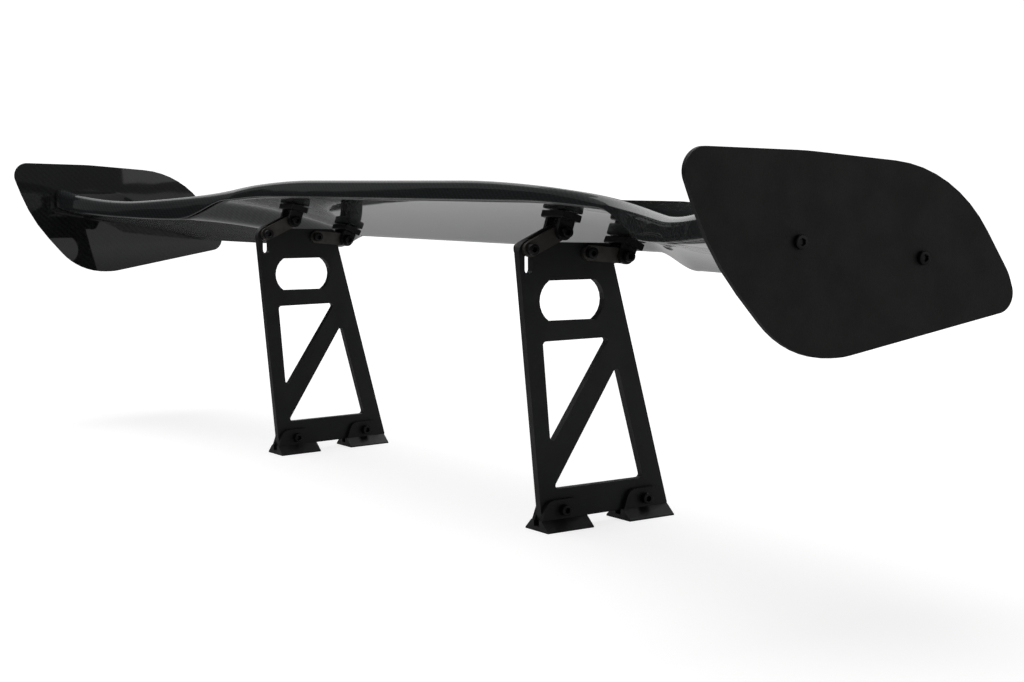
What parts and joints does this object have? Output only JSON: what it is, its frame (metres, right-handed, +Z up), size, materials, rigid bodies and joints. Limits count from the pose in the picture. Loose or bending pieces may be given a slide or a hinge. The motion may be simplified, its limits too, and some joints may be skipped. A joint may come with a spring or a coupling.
{
  "type": "racing rear wing",
  "caption": "Boot-lid racing wing: hollow raised-centre aerofoil with endplates on slotted uprights, hinged feet and adjustable links.",
  "frame": {"origin": "on the plane of the feet's soles, under the middle of the whole wing's bounding box, which is midway between the two uprights", "axes": "+X along the span, -Y towards the rear of the car and the trailing edge, +Z up"},
  "size_m": [1.4566, 0.2737, 0.3214],
  "materials": {
    "upright_black": "satin black powder coat with fine texture",
    "foot_black": "satin black powder coat",
    "bracket_black": "satin black powder coat",
    "link_grey": "dark anodised, fine brushed",
    "black_steel": "black oxide fastener steel",
    "carbon_gloss": "clear-coated carbon weave look",
    "plate_black": "satin black with a fine moulded texture outside",
    "rib_foam": "structural foam rib, hidden"
  },
  "bodies": {
    "uprights": {"upright_left": "upright_black", "link_pivot_bolt_left": "black_steel", "link_pivot_nut_left": "black_steel", "rear_foot_bolt_left": "black_steel", "rear_foot_nut_left": "black_steel", "front_foot_bolt_left": "black_steel", "front_foot_nut_left": "black_steel", "upright_right": "upright_black", "link_pivot_bolt_right": "black_steel", "link_pivot_nut_right": "black_steel", "rear_foot_bolt_right": "black_steel", "rear_foot_nut_right": "black_steel", "front_foot_bolt_right": "black_steel", "front_foot_nut_right": "black_steel"},
    "rear_foot_left": {"rear_foot_left": "foot_black"},
    "front_foot_left": {"front_foot_left": "foot_black"},
    "rear_foot_right": {"rear_foot_right": "foot_black"},
    "front_foot_right": {"front_foot_right": "foot_black"},
    "front_link_left": {"front_link_outer_left": "link_grey", "front_link_inner_left": "link_grey", "front_link_spacer_left": "black_steel"},
    "front_link_right": {"front_link_outer_right": "link_grey", "front_link_inner_right": "link_grey", "front_link_spacer_right": "black_steel"},
    "wing": {"upper_skin": "carbon_gloss", "lower_skin": "carbon_gloss", "mount_rib_left": "rib_foam", "end_rib_left": "rib_foam", "endplate_left": "plate_black", "rear_plate_screw_left": "black_steel", "front_plate_screw_left": "black_steel", "rear_bracket_left": "bracket_black", "rear_bracket_bolt_left": "black_steel", "rear_bracket_screw_left": "black_steel", "front_bracket_left": "bracket_black", "front_bracket_bolt_left": "black_steel", "front_bracket_screw_left": "black_steel", "mount_rib_right": "rib_foam", "end_rib_right": "rib_foam", "endplate_right": "plate_black", "rear_plate_screw_right": "black_steel", "front_plate_screw_right": "black_steel", "rear_bracket_right": "bracket_black", "rear_bracket_bolt_right": "black_steel", "rear_bracket_screw_right": "black_steel", "front_bracket_right": "bracket_black", "front_bracket_bolt_right": "black_steel", "front_bracket_screw_right": "black_steel"},
    "rear_link_left": {"rear_link_outer_left": "link_grey", "rear_link_inner_left": "link_grey", "rear_link_spacer_left": "black_steel", "slot_bolt_left": "black_steel", "slot_nut_left": "black_steel"},
    "rear_link_right": {"rear_link_outer_right": "link_grey", "rear_link_inner_right": "link_grey", "rear_link_spacer_right": "black_steel", "slot_bolt_right": "black_steel", "slot_nut_right": "black_steel"}
  },
  "joints": [
    {"name": "wing_pitch", "type": "hinge", "parent": "front_link_left", "child": "wing", "pos_m": [-0.281, 0.0919, 0.2257], "axis": [-1, 0, 0], "range_deg": [0, 15]},
    {"name": "front_link_left_swing", "type": "hinge", "parent": "uprights", "child": "front_link_left", "pos_m": [-0.281, 0.0581, 0.2307], "axis": [1, 0, 0], "range_deg": [0, 30]},
    {"name": "front_link_right_swing", "type": "hinge", "parent": "uprights", "child": "front_link_right", "pos_m": [0.281, 0.0581, 0.2307], "axis": [1, 0, 0], "range_deg": [0, 30]},
    {"name": "rear_link_left_swing", "type": "hinge", "parent": "wing", "child": "rear_link_left", "pos_m": [-0.281, 0.0319, 0.2499], "axis": [1, 0, 0], "range_deg": [0, 5]},
    {"name": "rear_link_right_swing", "type": "hinge", "parent": "wing", "child": "rear_link_right", "pos_m": [0.281, 0.0319, 0.2499], "axis": [1, 0, 0], "range_deg": [0, 5]},
    {"name": "rear_foot_left_tilt", "type": "hinge", "parent": "uprights", "child": "rear_foot_left", "pos_m": [-0.281, 0.0224, 0.0165], "axis": [1, 0, 0], "range_deg": [-8, 8]},
    {"name": "front_foot_left_tilt", "type": "hinge", "parent": "uprights", "child": "front_foot_left", "pos_m": [-0.281, 0.1034, 0.0165], "axis": [1, 0, 0], "range_deg": [-8, 8]},
    {"name": "rear_foot_right_tilt", "type": "hinge", "parent": "uprights", "child": "rear_foot_right", "pos_m": [0.281, 0.0224, 0.0165], "axis": [1, 0, 0], "range_deg": [-8, 8]},
    {"name": "front_foot_right_tilt", "type": "hinge", "parent": "uprights", "child": "front_foot_right", "pos_m": [0.281, 0.1034, 0.0165], "axis": [1, 0, 0], "range_deg": [-8, 8]}
  ],
  "couplings": [
    {"joint": "front_link_left_swing", "follows": "wing_pitch", "ratio": 2},
    {"joint": "front_link_right_swing", "follows": "wing_pitch", "ratio": 2},
    {"joint": "rear_link_left_swing", "follows": "wing_pitch", "ratio": 0.25},
    {"joint": "rear_link_right_swing", "follows": "wing_pitch", "ratio": 0.25}
  ]
}
